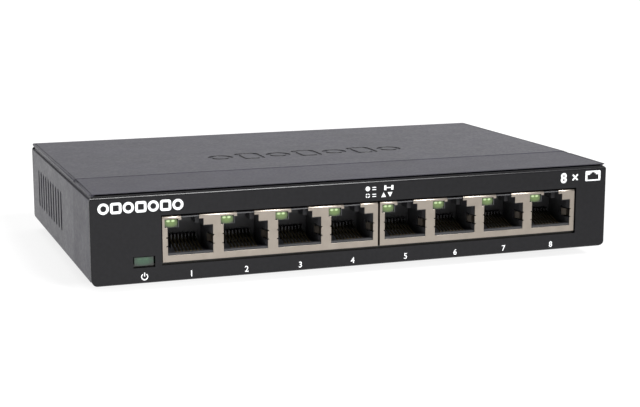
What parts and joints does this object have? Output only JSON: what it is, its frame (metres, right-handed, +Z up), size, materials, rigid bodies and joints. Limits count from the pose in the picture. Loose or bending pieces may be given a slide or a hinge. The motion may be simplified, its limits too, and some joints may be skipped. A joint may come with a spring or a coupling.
{
  "type": "desktop network switch",
  "caption": "Desktop Ethernet switch in a flat folded-steel case, with a row of shielded network jacks and link lights across the front, side vents and a power inlet at the rear.",
  "frame": {"origin": "centre of the case's footprint, on the surface that the rubber feet stand on", "axes": "+X to the right seen from the front, along the row of jacks; +Y to the rear; +Z up"},
  "size_m": [0.158, 0.101, 0.029],
  "materials": {
    "cover_paint": "fine-grained semi-matte powder coat",
    "tray_paint": "smooth satin paint",
    "label_film": "plain satin film with nothing printed on it",
    "print_ink": "white pad-printed ink, on the front panel only",
    "board_laminate": "satin solder mask over glass laminate",
    "zinc_steel": "bright zinc plate",
    "black_screw": "black oxide",
    "foot_rubber": "matte moulded rubber",
    "shield_plate": "drawn and stamped, nickel plated, satin",
    "jack_plastic": "moulded, fine matte",
    "contact_gold": "gold-plated spring wire",
    "link_lens": "clear green moulding",
    "power_lens": "clear dark green moulding",
    "led_epoxy": "clear epoxy",
    "inlet_plastic": "moulded",
    "inlet_metal": "nickel plate",
    "module_black": "moulded epoxy",
    "chip_black": "moulded epoxy",
    "pad_silicone": "soft silicone",
    "sink_aluminium": "extruded, plain",
    "can_metal": "drawn can",
    "ferrite": "moulded ferrite",
    "fuse_ceramic": "ceramic",
    "resistor_black": "glazed thick film",
    "capacitor_tan": "ceramic"
  },
  "bodies": {
    "case": {"base_tray": "tray_paint", "board_screws": "zinc_steel", "board_standoffs": "zinc_steel", "chip_capacitors": "capacitor_tan", "chip_resistors": "resistor_black", "circuit_board": "board_laminate", "contact_insert_left": "jack_plastic", "contact_insert_right": "jack_plastic", "contact_leads_left": "contact_gold", "contact_leads_right": "contact_gold", "cover_screws": "black_screw", "crystal": "can_metal", "dc_jack_body": "inlet_plastic", "dc_jack_pin": "inlet_metal", "dc_jack_spring": "inlet_metal", "electrolytic_capacitors": "can_metal", "flash_chip": "chip_black", "foot_front_left": "foot_rubber", "foot_front_right": "foot_rubber", "foot_rear_left": "foot_rubber", "foot_rear_right": "foot_rubber", "heat_sink": "sink_aluminium", "input_fuse": "fuse_ceramic", "jack_housing_left": "jack_plastic", "jack_housing_right": "jack_plastic", "jack_shield_left": "shield_plate", "jack_shield_right": "shield_plate", "link_led_1": "link_lens", "link_led_2": "link_lens", "link_led_3": "link_lens", "link_led_4": "link_lens", "link_led_5": "link_lens", "link_led_6": "link_lens", "link_led_7": "link_lens", "link_led_8": "link_lens", "power_inductor": "ferrite", "power_led": "led_epoxy", "power_light_pipe": "power_lens", "rectifier_diode": "chip_black", "switch_chip": "chip_black", "thermal_pad": "pad_silicone", "top_cover": "cover_paint", "transformer_1": "module_black", "transformer_2": "module_black", "transformer_3": "module_black", "transformer_4": "module_black", "underside_label": "label_film", "voltage_regulator": "chip_black"},
    "contact_set_1": {"port_contacts_1": "contact_gold"},
    "contact_set_2": {"port_contacts_2": "contact_gold"},
    "contact_set_3": {"port_contacts_3": "contact_gold"},
    "contact_set_4": {"port_contacts_4": "contact_gold"},
    "contact_set_5": {"port_contacts_5": "contact_gold"},
    "contact_set_6": {"port_contacts_6": "contact_gold"},
    "contact_set_7": {"port_contacts_7": "contact_gold"},
    "contact_set_8": {"port_contacts_8": "contact_gold"}
  },
  "joints": [
    {"name": "contact_flex_1", "type": "hinge", "parent": "case", "child": "contact_set_1", "pos_m": [-0.05122, -0.04795, 0.0108], "axis": [-1, 0, 0], "range_deg": [0, 9], "stiffness_Nm_per_rad": 0.4},
    {"name": "contact_flex_2", "type": "hinge", "parent": "case", "child": "contact_set_2", "pos_m": [-0.03534, -0.04795, 0.0108], "axis": [-1, 0, 0], "range_deg": [0, 9], "stiffness_Nm_per_rad": 0.4},
    {"name": "contact_flex_3", "type": "hinge", "parent": "case", "child": "contact_set_3", "pos_m": [-0.01946, -0.04795, 0.0108], "axis": [-1, 0, 0], "range_deg": [0, 9], "stiffness_Nm_per_rad": 0.4},
    {"name": "contact_flex_4", "type": "hinge", "parent": "case", "child": "contact_set_4", "pos_m": [-0.00358, -0.04795, 0.0108], "axis": [-1, 0, 0], "range_deg": [0, 9], "stiffness_Nm_per_rad": 0.4},
    {"name": "contact_flex_5", "type": "hinge", "parent": "case", "child": "contact_set_5", "pos_m": [0.01288, -0.04795, 0.0108], "axis": [-1, 0, 0], "range_deg": [0, 9], "stiffness_Nm_per_rad": 0.4},
    {"name": "contact_flex_6", "type": "hinge", "parent": "case", "child": "contact_set_6", "pos_m": [0.02876, -0.04795, 0.0108], "axis": [-1, 0, 0], "range_deg": [0, 9], "stiffness_Nm_per_rad": 0.4},
    {"name": "contact_flex_7", "type": "hinge", "parent": "case", "child": "contact_set_7", "pos_m": [0.04464, -0.04795, 0.0108], "axis": [-1, 0, 0], "range_deg": [0, 9], "stiffness_Nm_per_rad": 0.4},
    {"name": "contact_flex_8", "type": "hinge", "parent": "case", "child": "contact_set_8", "pos_m": [0.06052, -0.04795, 0.0108], "axis": [-1, 0, 0], "range_deg": [0, 9], "stiffness_Nm_per_rad": 0.4}
  ]
}
